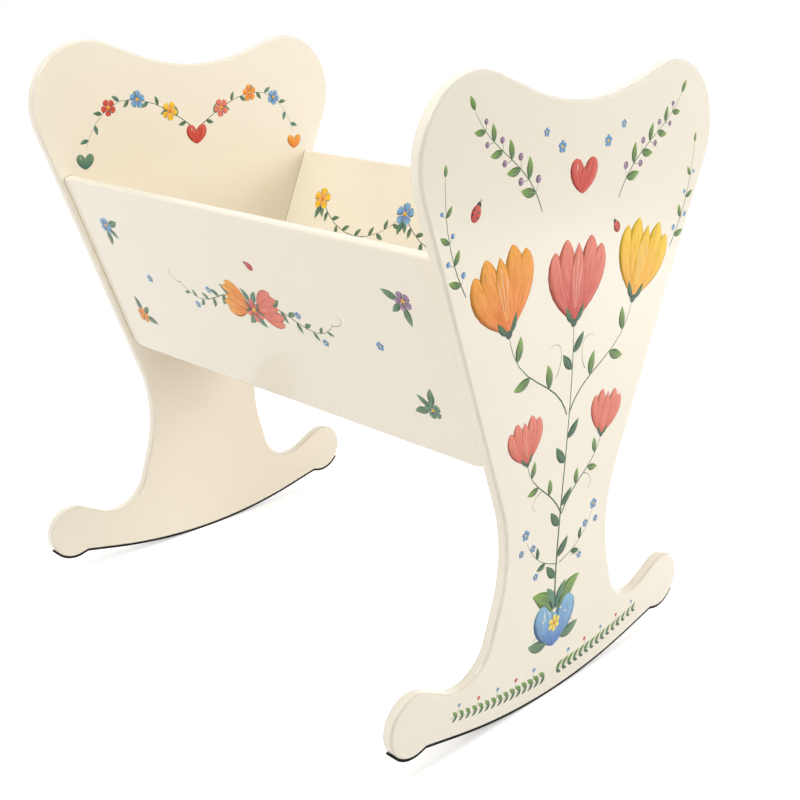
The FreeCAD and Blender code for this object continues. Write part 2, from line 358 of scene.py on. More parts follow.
@cache
def arris_shade_and_wear() -> bpy.types.NodeTree:
    """Builds a grey line on rounded arrises: painted shade for a dark reflection, and some wear.

    The surface's direction is compared with the board's own: their dot product is 1 on a face and
    0 on an edge, so four times it times what it lacks to 1 peaks on the rounding between them.
    Roundings that look upwards take their own share of it, as painted shade that dims their
    highlight, and noise breaks the line up.

    Returns:
        A group that puts out colour.
    """
    inputs = {"Vector": VECTOR, "Facing": VECTOR, "Colour": COLOUR, "Painted Shade": COLOUR}
    group = EffectGroup("arris shade and wear", inputs | {"Strength": FLOAT, "Upward": FLOAT}, {"Colour": COLOUR})
    where, facing, colour, arris_shade, strength, upward = group.given
    normal = group.out("ShaderNodeTexCoord", output="Normal")
    dot_product = group.out("ShaderNodeVectorMath", {0: normal, 1: facing}, "Value", operation="DOT_PRODUCT")
    share = group.math("ABSOLUTE", dot_product)
    peak = group.product(share, group.math("SUBTRACT", 1.0, share))
    rounding = group.math("MULTIPLY", peak, 4.0, clamp=True)
    sideways = group.remap(group.part(normal, "Z"), 0.35, 0.05, upward, 1.0)
    patches = group.remap(group.noise(where, scale=26.0, detail=3.0), 0.3, 0.6, 0.45, 1.0)
    # Painted shade on the roundings, in place of a dark reflection, with some wear.
    mask = group.product(rounding, sideways, patches, strength)
    return group.finished(Colour=group.mix(mask, colour, arris_shade))


@cache
def timber() -> bpy.types.NodeTree:
    """Builds plain sawn timber.

    Strongly bent waves and broad noise, both stretched along the board, give the growth lines,
    and much finer stretched noise gives the pores.

    Returns:
        A group that puts out colour and height.
    """
    inputs = {"Vector": VECTOR, "Light": COLOUR, "Dark": COLOUR, "Rings": FLOAT}
    group = EffectGroup("timber", inputs, {"Colour": COLOUR, "Height": FLOAT})
    where, light, dark, density = group.given
    along = group.scaled(where, (1.0, 0.06, 1.0))
    bend = group.noise(along, scale=9.0, detail=3.0)
    values = {"Vector": along, "Scale": density, "Distortion": 11.0, "Detail": 2.0, "Detail Scale": 0.6}
    rings = group.out("ShaderNodeTexWave", values, "Fac", bands_direction="X")
    pores = group.noise(group.scaled(where, (900.0, 28.0, 900.0)), scale=1.0, detail=2.0)
    lines = group.math("MULTIPLY_ADD", rings, 0.25, group.product(bend, 0.75))
    ringed = group.mix(group.remap(lines, 0.3, 0.75, 0.0, 0.6), light, dark)
    porous = group.mix(group.remap(pores, 0.62, 0.75, 0.0, 0.5), ringed, dark)
    return group.finished(Colour=porous, Height=group.math("SUBTRACT", group.product(rings, 0.3), pores))


@cache
def bristle_streaks() -> bpy.types.NodeTree:
    """Builds the streaks that a loaded brush leaves in one stroke.

    Noise is stretched along the stroke, so it varies mostly across it, and both lightens and
    darkens the stroke's own colour a little.

    Returns:
        A group that puts out colour and height.
    """
    inputs = {"Vector": VECTOR, "Colour": COLOUR, "Strength": FLOAT}
    group = EffectGroup("bristle streaks", inputs, {"Colour": COLOUR, "Height": FLOAT})
    where, colour, strength = group.given
    streaks = group.noise(group.scaled(where, (0.35, 4.5, 1.0)), scale=1.0, detail=4.0, roughness=0.6)
    dark = group.product(group.remap(streaks, 0.5, 0.25), strength)
    light = group.product(group.remap(streaks, 0.5, 0.78), strength, 0.34)
    shaded = group.mix(dark, colour, (0.35, 0.35, 0.35, 1.0), "MULTIPLY")
    return group.finished(Colour=group.mix(light, shaded, (1.0, 0.97, 0.88, 1.0)), Height=streaks)


# Finishes

Look = tuple[dict[str, object], Socket, float]


@dataclass(frozen=True)
class Finish:
    """A procedural finish. Its look is the Principled sockets by name, the bump's height and depth."""

    name: str

    def look(self, graph: Graph) -> Look:
        """Builds the finish in a material's graph, and returns its look."""
        raise NotImplementedError

    def material(self) -> bpy.types.Material:
        """Closes the look with a Bump, a Principled BSDF and the output.

        Returns:
            The material.
        """
        made = bpy.data.materials.new(self.name)
        graph = graph_in(made)
        values, height, depth = self.look(graph)
        bump = graph.out("ShaderNodeBump", {"Height": height, "Distance": depth * MM, "Strength": 1.0})
        surface = graph.out("ShaderNodeBsdfPrincipled", {**values, "Normal": bump})
        graph.node("ShaderNodeOutputMaterial", {"Surface": surface})
        return made


@dataclass(frozen=True)
class GlossPaint(Finish):
    """Cream gloss paint, brushed along one direction of the board. Its scuffs' reach is metres."""

    stretch: Triple
    facing: Triple = (0.0, 1.0, 0.0)
    colour: Triple = (0.957, 0.925, 0.858)
    warm: Triple = (0.953, 0.910, 0.825)
    dust: Triple = (0.60, 0.55, 0.48)
    mark: Triple = (0.66, 0.62, 0.54)
    # Painted shade on rounded arrises, for a dark reflection, with some wear; the upward share dims
    # highlights.
    arris_shade: Triple = (0.62, 0.57, 0.54)
    arris_shade_strength: float = 0.22
    arris_shade_upward: float = 0.0
    scuff_reach: float = 0.16
    scuff_strength: float = 0.10
    scuff_roughness: float = 0.4
    coat: float = 0.5
    coat_roughness: float = 0.05
    index: float = 1.5
    depth: float = 0.014

    def look(self, graph: Graph) -> Look:
        """Lays the film, greys its arrises with painted shade and some wear, and scuffs it near the floor.

        Args:
            graph: the material's graph.

        Returns:
            The look.
        """
        where = graph.place()
        film = graph.effect(brushed_film(), where, self.stretch, self.colour, self.warm, self.dust)
        # The arrises get painted shade in place of a dark reflection, and some wear.
        arris_shade = (self.arris_shade, self.arris_shade_strength, self.arris_shade_upward)
        shaded_arrises = graph.effect(arris_shade_and_wear(), where, self.facing, film["Colour"], *arris_shade)
        scuff = (self.mark, self.scuff_reach, self.scuff_strength)
        marks = graph.effect(floor_scuffs(), where, shaded_arrises["Colour"], *scuff)
        rough = graph.math("MULTIPLY_ADD", marks["Mask"], self.scuff_roughness, film["Roughness"])
        values = {"Base Color": marks["Colour"], "Roughness": rough, "IOR": self.index}
        values |= {"Coat Weight": self.coat, "Coat Roughness": self.coat_roughness}
        return values, film["Height"], self.depth


@dataclass(frozen=True)
class BareTimber(Finish):
    """Unpainted timber, as on the base and its battens."""

    light: Triple
    dark: Triple
    rings: float
    layers: bool = False
    grain_along_x: bool = False
    ply: float = 3.4
    roughness: float = 0.55
    depth: float = 0.08

    def look(self, graph: Graph) -> Look:
        """Builds the timber. Where it has layers, its cut edges show plies as bands of height.

        Args:
            graph: the material's graph.

        Returns:
            The look.
        """
        where = graph.place()
        if self.grain_along_x:
            turned = {index: graph.part(where, axis) for index, axis in enumerate("YXZ")}
            where = graph.out("ShaderNodeCombineXYZ", turned)
        wood = graph.effect(timber(), where, self.light, self.dark, self.rings)
        colour, height = wood["Colour"], wood["Height"]
        if self.layers:
            bands = graph.math("SINE", graph.product(graph.part(where, "Z"), 2 * math.pi / (self.ply * MM)))
            normal = graph.out("ShaderNodeNewGeometry", output="Normal")
            upright = graph.math("ABSOLUTE", graph.part(normal, "Z"))
            edge = graph.product(graph.remap(upright, 0.75, 0.45), graph.remap(bands, -0.2, 0.2), 0.75)
            colour = graph.mix(edge, colour, self.dark)
        rough = graph.remap(height, -1.0, 0.3, self.roughness + 0.12, self.roughness - 0.08)
        return {"Base Color": colour, "Roughness": rough}, height, self.depth


@dataclass(frozen=True)
class CloudyFinish(Finish):
    """A colour with clouds of a second one, which also change its gloss, and fine grain.

    The clouds and the grain are a noise's scale and detail. The patches are the range of the
    clouds in which the second colour grows to its share, and the gloss is a range of them and the
    range of roughness that it becomes.
    """

    colour: Triple
    other: Triple
    clouds: Point
    patches: Point
    gloss: tuple[float, float, float, float]
    grain: Point
    depth: float
    share: float = 1.0
    metallic: float = 0.0
    specular: float = 0.5

    def look(self, graph: Graph) -> Look:
        """Mixes the two colours, with the grain as the bump.

        Args:
            graph: the material's graph.

        Returns:
            The look.
        """
        where = graph.place()
        clouds = graph.noise(where, *self.clouds)
        patches = graph.product(graph.remap(clouds, *self.patches), self.share)
        values = {"Base Color": graph.mix(patches, self.colour, self.other), "Metallic": self.metallic}
        values |= {"Roughness": graph.remap(clouds, *self.gloss), "Specular IOR Level": self.specular}
        return values, graph.noise(where, *self.grain), self.depth


@dataclass(frozen=True)
class ArtistPaint(Finish):
    """Semi-gloss colours of the painted motifs, each stroke with its own."""

    name: str = "motif paint"
    streaks: float = 0.55
    roughness: float = 0.36
    depth: float = 0.08

    def look(self, graph: Graph) -> Look:
        """Reads the stroke's colour attribute and lays streaks along its UV map.

        Args:
            graph: the material's graph.

        Returns:
            The look.
        """
        colour = graph.out("ShaderNodeAttribute", attribute_name="stroke colour")
        where = graph.out("ShaderNodeUVMap", uv_map="stroke")
        brush = graph.effect(bristle_streaks(), where, colour, self.streaks)
        rough = graph.remap(brush["Height"], 0.3, 0.7, self.roughness - 0.06, self.roughness + 0.08)
        return {"Base Color": brush["Colour"], "Roughness": rough}, brush["Height"], self.depth


# Brush strokes


class Swell(Enum):
    """How a stroke's width grows and falls. A hump's two numbers are its lean and its bluntness."""

    LEAF = (0.85, 0.9)
    PETAL = (1.75, 0.66)
    LOBE = (1.7, 0.5)
    STEM = "stem"
    DOT = "dot"

    def widths(self, along: Array) -> Array:
        """Gives the share of the half width at each place along a stroke.

        A hump is sin(pi along^lean)^bluntness. A stem tapers evenly, and a dot is half a circle.

        Args:
            along: places from 0 at the start to 1 at the end.

        Returns:
            The share at each place.
        """
        half_circle = 2 * np.sqrt(along * (1 - along))
        if self is Swell.DOT:
            return half_circle
        if self is Swell.STEM:
            return (1 - 0.6 * along) * np.minimum(1, 4 * half_circle)
        lean, bluntness = self.value
        return np.sin(np.pi * along**lean) ** bluntness


class Pot(Enum):
    """The painter's colours, as seen on a screen."""

    LEAF_DARK = (0.10, 0.30, 0.20)
    LEAF = (0.22, 0.43, 0.22)
    LEAF_LIGHT = (0.53, 0.68, 0.24)
    SAGE = (0.44, 0.60, 0.44)
    TEAL = (0.06, 0.38, 0.36)
    CORAL = (0.86, 0.33, 0.25)
    ROSE = (0.94, 0.52, 0.42)
    RED = (0.80, 0.15, 0.09)
    ORANGE = (0.95, 0.45, 0.06)
    AMBER = (0.98, 0.66, 0.14)
    YELLOW = (0.99, 0.82, 0.06)
    LEMON = (0.99, 0.93, 0.50)
    BLUE = (0.20, 0.42, 0.74)
    SKY = (0.56, 0.76, 0.88)
    PLUM = (0.42, 0.26, 0.38)
    LILAC = (0.66, 0.54, 0.68)
    INK = (0.14, 0.11, 0.10)
    CREAM = (0.98, 0.95, 0.86)


# Loads of the brush: the colours at the start and at the end of a stroke

Load = tuple[Pot, Pot]
FERN = (Pot.LEAF_DARK, Pot.LEAF)
SPRING = (Pot.LEAF_DARK, Pot.LEAF_LIGHT)
MOSS = (Pot.LEAF_DARK, Pot.SAGE)
DUSK = (Pot.TEAL, Pot.SAGE)
YOUNG = (Pot.LEAF, Pot.LEAF_LIGHT)
STALK = (Pot.LEAF, Pot.LEAF)
FLAME = (Pot.ORANGE, Pot.AMBER)
SUN = (Pot.AMBER, Pot.YELLOW)
SEA = (Pot.BLUE, Pot.SKY)
BLUET = (Pot.SKY, Pot.BLUE)
BLUSH = (Pot.CORAL, Pot.ROSE)
CHERRY = (Pot.RED, Pot.CORAL)
PINK = (Pot.RED, Pot.ROSE)
VIOLET = (Pot.PLUM, Pot.LILAC)
SLOE = (Pot.LILAC, Pot.PLUM)
BLACK = (Pot.INK, Pot.INK)
WHITISH = (Pot.CREAM, Pot.CREAM)


@dataclass(frozen=True)
class Stroke:
    """One stroke of the brush, as a cubic curve on a flat face."""

    path: Path
    half_width: float
    swell: Swell
    colours: Load
    layer: int = 0

    def mirrored(self) -> "Stroke":
        """Returns the same stroke on the other side of the face's upright middle line."""
        return replace(self, path=tuple((-x, y) for x, y in self.path))


Strokes = list[Stroke]


def step(start: Point, angle: float, distance: float) -> Point:
    """Returns the point at a distance and an angle from the start."""
    turn = math.radians(angle)
    return (start[0] + distance * math.cos(turn), start[1] + distance * math.sin(turn))


def arched(start: Point, angle: float, length: float, bend: float = 0.0) -> Path:
    """Returns a curve whose chord runs along the angle, and which turns left by the bend in all."""
    end, third = step(start, angle, length), length / 3
    return (start, step(start, angle - bend / 2, third), step(end, angle + bend / 2 + 180, third), end)


def on_curve(path: Path, share: float) -> tuple[Point, float]:
    """Returns a place on a curve, and the direction there."""
    place, run = bezier(np.array(path), share)
    return tuple(place.tolist()), math.degrees(math.atan2(run[1], run[0]))


def fan(at: Point, angle: float, size: float, swell: Swell, colours: Load, *rows: tuple) -> Strokes:
    """Paints strokes that spread from one point.

    Args:
        at: the point.
        angle: the middle direction.
        size: the motif's size, which the lengths and widths are shares of.
        swell: how the strokes' widths run.
        colours: their colours.
        rows: turn from the middle, length, bend, half width and layer of each stroke.

    Returns:
        The strokes.
    """
    return [
        Stroke(arched(at, angle + turn, length * size, bend), half_width * size, swell, colours, layer)
        for turn, length, bend, half_width, layer in rows
    ]


def stem(path: Path, half_width: float = 1.1, colours: Load = FERN) -> Strokes:
    """Returns a thin stem along a curve."""
    return [Stroke(path, half_width, Swell.STEM, colours)]


def dot(at: Point, radius: float, colours: Load, layer: int = 1) -> Strokes:
    """Returns a round dab of paint."""
    return fan((at[0] - radius, at[1]), 0.0, radius, Swell.DOT, colours, (0, 2, 0, 1, layer))


def leaf(at: Point, angle: float, length: float, bend: float = 0.0, colours: Load = FERN) -> Strokes:
    """Paints a leaf with a pale vein.

    Args:
        at: where the leaf joins its stem.
        angle: its direction.
        length: its length.
        bend: how far it curls to the left.
        colours: its colours.

    Returns:
        Two strokes.
    """
    body = fan(at, angle, length, Swell.LEAF, colours, (0, 1, bend, 0.21, 1))
    vein = (0, 0.72, 0.8 * bend, 0.022 + 0.15 / length, 2)
    return body + fan(at, angle, length, Swell.STEM, (colours[1], Pot.SAGE), vein)


@dataclass(frozen=True)
class Spot:
    """A place on a stem where something grows, on one side and the other turn and turn about."""

    index: int
    share: float
    at: Point
    heading: float

    @property
    def side(self) -> int:
        """1 to the left of the stem, at every second place, and -1 to the right."""
        return 1 if self.index % 2 else -1

    def leaf(self, turn: float, length: float, curl: float, colours: Load) -> Strokes:
        """Returns a leaf that turns away from the stem on this side, and curls back to it."""
        return leaf(self.at, self.heading + self.side * turn, length, -self.side * curl, colours)


def spots(path: Path, shares: Iterable[float]) -> list[Spot]:
    """Returns the spots at some shares of a stem."""
    return [Spot(index, share, *on_curve(path, share)) for index, share in enumerate(shares)]


def evenly(first: float, spacing: float, count: int) -> list[float]:
    """Returns evenly spaced shares."""
    return [first + spacing * index for index in range(count)]


def heart(at: Point, size: float, colours: Load) -> Strokes:
    """Paints an upright heart: two fat comma strokes, one that fills it and a highlight.

    Args:
        at: its lower point.
        size: its height.
        colours: its colours.

    Returns:
        Four strokes.
    """
    lobes = ((22, 1, -34, 0.29, 2), (-22, 1, 34, 0.29, 2))
    strokes = fan(at, 90, size, Swell.LOBE, colours, *lobes)
    strokes += fan(at, 90, size, Swell.LEAF, colours, (0, 0.70, 0, 0.22, 3))
    shine = (colours[1], Pot.CREAM)
    return strokes + fan(step(at, 114, 0.62 * size), 90, size, Swell.LEAF, shine, (10, 0.24, -40, 0.035, 4))


def blossom(
    at: Point, size: float, colours: Load, eye: Pot = Pot.YELLOW, petals: int = 5, turn: float = 90.0
) -> Strokes:
    """Paints a small round-petalled flower.

    Args:
        at: its middle.
        size: its width.
        colours: its petals' colours.
        eye: colour of its middle.
        petals: how many petals go round.
        turn: direction of the first petal.

    Returns:
        The petals, the eye and its shade.
    """
    strokes: Strokes = []
    reach = size / 2
    for index in range(petals):
        angle = turn + 360 * index / petals
        petal = (0, 0.88, 0, 2 / petals, 2 + index % 2)
        strokes += fan(step(at, angle, 0.12 * reach), angle, reach, Swell.LOBE, colours, petal)
    strokes += dot(at, 0.22 * reach, (Pot.AMBER, eye), 4)
    return strokes + dot(step(at, -60, 0.1 * reach), 0.08 * reach, BLACK, 5)


def tulip(at: Point, angle: float, size: float, colours: Load, shine: Pot = Pot.CREAM) -> Strokes:
    """Paints a tulip seen from the side.

    Args:
        at: the foot of the flower.
        angle: direction it opens in.
        size: its height.
        colours: its petals' colours.
        shine: colour of the fine lines on them.

    Returns:
        Two outer petals, two inner ones, a middle one, fine lines and a green cup.
    """
    strokes: Strokes = []
    for side in (-1, 1):
        petals = ((side * 27, 0.94, side * -46, 0.155, 1), (side * 13, 0.98, side * -30, 0.16, 2))
        strokes += fan(at, angle, size, Swell.PETAL, colours, *petals)
    strokes += fan(at, angle, size, Swell.LEAF, colours, (0, 0.90, 0, 0.19, 3))
    for turn, reach in ((-7, 0.5), (0, 0.62), (7, 0.5)):
        foot = step(at, angle + turn, 0.16 * size)
        strokes += fan(foot, angle, size, Swell.STEM, (colours[1], shine), (turn, reach, 0, 0.012, 4))
    cup = ((-38, 0.26, 50, 0.045, 4), (38, 0.26, -50, 0.045, 4))
    strokes += fan(at, angle, size, Swell.LEAF, FERN, *cup)
    return strokes + dot(at, 0.055 * size, (Pot.LEAF_DARK, Pot.LEAF_DARK), 5)


def berry(at: Point, radius: float, colours: Load) -> Strokes:
    """Returns a berry with a small highlight."""
    return dot(at, radius, colours, 2) + dot(step(at, 120, 0.4 * radius), 0.22 * radius, WHITISH, 3)


def sprig(path: Path, count: int, length: float, berries: Load, radius: float) -> Strokes:
    """Paints a curved twig with leaves on one side and berries on the other, turn and turn about.

    Args:
        path: the twig's curve.
        count: how many leaves it has, and how many berries.
        length: length that the leaves have at its foot; along the twig they get shorter.
        berries: the berries' colours.
        radius: radius that the berries have at its foot.

    Returns:
        All its strokes.
    """
    strokes = stem(path, 0.9)
    for spot in spots(path, evenly(0.14, 0.80 / count, count)):
        smaller = 1 - 0.45 * spot.share
        strokes += spot.leaf(44, length * smaller, 18, SPRING)
        stalk = arched(spot.at, spot.heading - spot.side * 48, 0.55 * length * smaller, spot.side * 20)
        strokes += stem(stalk, 0.5, STALK) + berry(stalk[3], radius * smaller, berries)
    return strokes + leaf(*on_curve(path, 1.0), 0.6 * length, 0.0, YOUNG)


def ladybird(at: Point, angle: float, length: float) -> Strokes:
    """Paints a small spotted beetle.

    Args:
        at: the middle of its back.
        angle: direction it walks in.
        length: length of its back.

    Returns:
        All its strokes.
    """
    tail, brow = step(at, angle + 180, length / 2), step(at, angle, 0.62 * length)
    strokes = fan(tail, angle, length, Swell.DOT, CHERRY, (0, 1, 0, 0.40, 2))
    strokes += dot(step(at, angle, 0.50 * length), 0.19 * length, BLACK, 1)
    strokes += fan(tail, angle, length, Swell.STEM, BLACK, (0, 0.9, 0, 0.035, 3))
    for side in (-1, 1):
        for reach, turn in ((0.24, 55), (0.26, 125)):
            strokes += dot(step(at, angle + side * turn, reach * length), 0.085 * length, BLACK, 3)
        strokes += fan(brow, angle, length, Swell.STEM, BLACK, (side * 28, 0.30, side * 30, 0.025, 1))
    return strokes


def forget_me_not(at: Point, size: float) -> Strokes:
    """Returns a tiny flower of five dabs round a yellow one."""
    dabs = [dot(step(at, 90 + 72 * index, 0.30 * size), 0.20 * size, BLUET, 2) for index in range(5)]
    return sum(dabs, []) + dot(at, 0.13 * size, (Pot.YELLOW, Pot.YELLOW), 3)


def tendril(at: Point, angle: float, size: float, side: int) -> Strokes:
    """Paints a thin curl in two strokes, the second of which turns tighter.

    Args:
        at: where it springs from.
        angle: direction of its first stroke.
        size: length of that stroke.
        side: 1 where it turns to the left, and -1 to the right.

    Returns:
        Two strokes.
    """
    first = arched(at, angle, size, side * 70)
    second = arched(first[3], angle + side * 95, 0.55 * size, side * 130)
    return stem(first, 0.7, STALK) + stem(second, 0.5, YOUNG)


def mirrored(strokes: Strokes) -> Strokes:
    """Returns the strokes' mirror image across the upright middle line."""
    return [stroke.mirrored() for stroke in strokes]


def with_mirror(strokes: Strokes) -> Strokes:
    """Returns the strokes and their mirror image."""
    return strokes + mirrored(strokes)


# Designs


@dataclass(frozen=True)
class PanelDesign:
    """The flower tree on the outer face of an end panel, with heights above the floor."""

    left_bloom: Load = FLAME
    right_bloom: Load = SUN
    crown_bloom: Load = PINK
    root_heart: Load = SEA
    trunk: Path = ((0.0, 142.0), (-14.0, 270.0), (14.0, 420.0), (0.0, 580.0))
    low_branch: Path = ((0.0, 296.0), (26.0, 346.0), (72.0, 346.0), (86.0, 396.0))
    high_branch: Path = ((2.0, 446.0), (30.0, 516.0), (120.0, 500.0), (140.0, 590.0))
    low_twig: Path = ((2.0, 218.0), (30.0, 226.0), (58.0, 236.0), (78.0, 278.0))
    lobe_sprig: Path = ((84.0, 738.0), (116.0, 812.0), (190.0, 816.0), (222.0, 872.0))
    flank_sprig: Path = ((226.0, 652.0), (252.0, 690.0), (270.0, 735.0), (270.0, 800.0))
    band_height: float = 34.0
    band_step: float = 0.87
    band_leaves: int = 15
    flower_lift: int = 6

    def foot(self) -> Strokes:
        """Paints the heart that the tree grows from.

        Returns:
            The heart, the small flower on it, and the curling leaves round it.
        """
        half = leaf((6.0, 140.0), 40, 66, -46, SPRING) + leaf((4.0, 143.0), 66, 46, -30, DUSK)
        half += leaf((16.0, 92.0), 14, 46, 34, MOSS) + tendril((20.0, 96.0), 36, 26, -1)
        strokes = with_mirror(half) + heart((0.0, 82.0), 82, self.root_heart)
        for stroke in blossom((0.0, 120.0), 28, (Pot.YELLOW, Pot.LEMON), Pot.ORANGE, petals=6):
            strokes.append(replace(stroke, layer=stroke.layer + self.flower_lift))
        for angle in (38, 66, 114, 142):
            strokes += dot(step((0.0, 110.0), angle, 34), 2.0, WHITISH, 8)
        return strokes

    def ground(self) -> Strokes:
        """Paints the leafy band that follows the rocker's arc.

        Returns:
            Its leaves, and the berries that stand between them.
        """
        strokes: Strokes = []
        for index in (*range(-self.band_leaves, 0), *range(1, self.band_leaves + 1)):
            swing, side = self.band_step * index, 1 if index > 0 else -1
            heading = swing if index > 0 else 180 + swing
            place = step((0.0, SIZES.rolling_radius), swing - 90, SIZES.rolling_radius - self.band_height)
            size = 1 - 0.018 * abs(index)
            strokes += leaf(place, heading + side * 38, 20 * size, side * -22, YOUNG)
            strokes += leaf(place, heading - side * 34, 15 * size, side * 22)
            strokes += stem(arched(place, heading, 15), 0.6, STALK)
            if index % 3 == 0:
                colours = (CHERRY, BLUET)[index // 3 % 2]
                strokes += berry(step(place, 90 + swing, 24 * size), 3.8 * size, colours)
                strokes += stem(arched(place, 90 + swing, 20 * size), 0.6, STALK)
        return strokes

    def stalk(self) -> Strokes:
        """Paints the upright stem.

        Returns:
            The stem and its leaves.
        """
        strokes = stem(self.trunk, 1.9)
        lengths = (34, 36, 34, 32, 36, 34, 34, 34)
        for spot, length in zip(spots(self.trunk, (0.14, 0.22, 0.34, 0.41, 0.56, 0.64, 0.86, 0.91)), lengths):
            strokes += spot.leaf(-42, length, -24, FERN)
        return strokes

    def branches(self) -> Strokes:
        """Paints two pairs of flowering branches, and what grows between them.

        Returns:
            The branches with their leaves and tulips, then curls and small flowers.
        """
        strokes: Strokes = []
        for side, bloom in ((-1, self.left_bloom), (1, self.right_bloom)):
            pair = ((self.low_branch, 80, 72, BLUSH), (self.high_branch, 76, 118, bloom))
            for path, angle, size, colours in pair:
                part = stem(path, 1.4) + tulip(path[3], angle, size, colours)
                for share, turn in ((0.34, 48), (0.60, -52), (0.80, 46)):
                    place, heading = on_curve(path, share)
                    part += leaf(place, heading + turn, 0.22 * size + 10, -turn / 2, SPRING)
                strokes += part if side > 0 else mirrored(part)
        curls = tendril((34.0, 508.0), 100, 42, -1) + tendril((46.0, 346.0), -35, 27, -1)
        curls += stem(self.low_twig, 0.8)
        curls += leaf((30.0, 228.0), -14, 22, 16) + leaf((50.0, 240.0), 84, 20, -16)
        for at, size in (((80.0, 288.0), 17), ((62.0, 262.0), 13), ((88.0, 262.0), 12), ((52.0, 214.0), 12)):
            curls += forget_me_not(at, size)
        return strokes + with_mirror(curls + stem(arched((30.0, 222.0), -18, 20), 0.5, STALK))

    def head(self) -> Strokes:
        """Paints the flower on top of the tree, and what fills the panel's lobes.

        Returns:
            The flower, a heart, sprigs with berries, small flowers and two beetles.
        """
        strokes = tulip(self.trunk[3], 90, 122, self.crown_bloom) + heart((0.0, 754.0), 50, CHERRY)
        half = sprig(self.lobe_sprig, 7, 33, SLOE, 5.6) + sprig(self.flank_sprig, 4, 25, BLUET, 4.4)
        half += forget_me_not((50.0, 818.0), 17) + forget_me_not((84.0, 838.0), 12)
        strokes += with_mirror(half)
        return strokes + ladybird((-214.0, 752.0), 62, 22) + ladybird((86.0, 700.0), 128, 18)

    def strokes(self) -> Strokes:
        """Returns the whole design."""
        return self.ground() + self.stalk() + self.foot() + self.branches() + self.head()


@dataclass(frozen=True)
class PanelGarland:
    """The thin garland under the saddle of an end panel's inner face."""

    path: Path = ((0.0, 762.0), (70.0, 812.0), (176.0, 872.0), (224.0, 744.0))
    strung: tuple = ((0.24, SUN, BLUSH), (0.50, SEA, FLAME), (0.74, CHERRY, SEA))
    hearts: tuple = (((-226.0, 713.0), 27, DUSK), ((226.0, 713.0), 27, FLAME), ((0.0, 738.0), 36, CHERRY))

    def strokes(self) -> Strokes:
        """Paints the garland.

        Returns:
            The stem of each half, its leaves, and flowers and hearts strung along it.
        """
        half = stem(self.path, 0.8, MOSS)
        for spot in spots(self.path, evenly(0.10, 0.078, 12)):
            half += spot.leaf(48, 17, 18, DUSK if spot.index % 3 else MOSS)
        strokes = with_mirror(half)
        for share, *pair in self.strung:
            (x, y), heading = on_curve(self.path, share)
            for side, colours in zip((-1, 1), pair):
                eye = Pot.ORANGE if colours == SUN else Pot.YELLOW
                strokes += blossom((side * x, y), 34 - 8 * share, colours, eye, turn=90 + side * heading)
        for at, size, colours in self.hearts:
            strokes += heart(at, size, colours)
        return strokes


@dataclass(frozen=True)
class BoardGarland:
    """The garland on the outer face of a side board, with heights up the board."""

    middle: float = 166.0
    reach: float = 176.0
    corner: Point = (332.0, 86.0)
    lone_flower: float = 262.0
    corner_blooms: tuple = ((-1, 1, SEA), (1, 1, VIOLET), (-1, -1, FLAME), (1, -1, DUSK))

    def corners(self) -> Strokes:
        """Paints a small flower over three leaves in each corner of the board.

        Returns:
            All their strokes.
        """
        strokes: Strokes = []
        for side, rise, colours in self.corner_blooms:
            at = (side * self.corner[0], self.middle + rise * self.corner[1])
            heading = 90 - side * (90 - rise * 40)
            for turn, length in ((-58, 30), (0, 24), (58, 30)):
                away = heading + 180 + turn
                strokes += leaf(step(at, away, 8), away, length, turn / 3, MOSS)
            strokes += blossom(at, 30, colours, turn=heading)
        return strokes

    def strokes(self) -> Strokes:
        """Paints two tulips back to back, with leafy scrolls, and the corners.

        Returns:
            All its strokes.
        """
        middle, reach = self.middle, self.reach
        scroll = ((14.0, middle - 6), (60.0, middle + 58), (118.0, middle - 58), (reach, middle + 14))
        half = stem(scroll, 1.1)
        for spot in spots(scroll, evenly(0.16, 0.092, 9)):
            half += spot.leaf(46, 25 - 1.4 * spot.index, 24, MOSS)
            if spot.index in (4, 7):
                half += forget_me_not(step(spot.at, spot.heading - spot.side * 84, 15), 13)
        half += leaf((0.0, middle - 6), -48, 30, 30, DUSK) + leaf((4.0, middle + 10), 62, 27, -30, DUSK)
        half += tendril((reach - 4, middle + 12), 20, 24, 1)
        strokes = with_mirror(half) + tulip((8.0, middle), 14, 62, BLUSH)
        strokes += tulip((-8.0, middle), 166, 62, FLAME, Pot.LEMON)
        strokes += blossom((0.0, middle - 2), 42, PINK, petals=6) + self.corners()
        strokes += ladybird((26.0, middle + 78), 150, 16)
        for side in (-1, 1):
            strokes += forget_me_not((side * self.lone_flower, middle), 15)
        return strokes


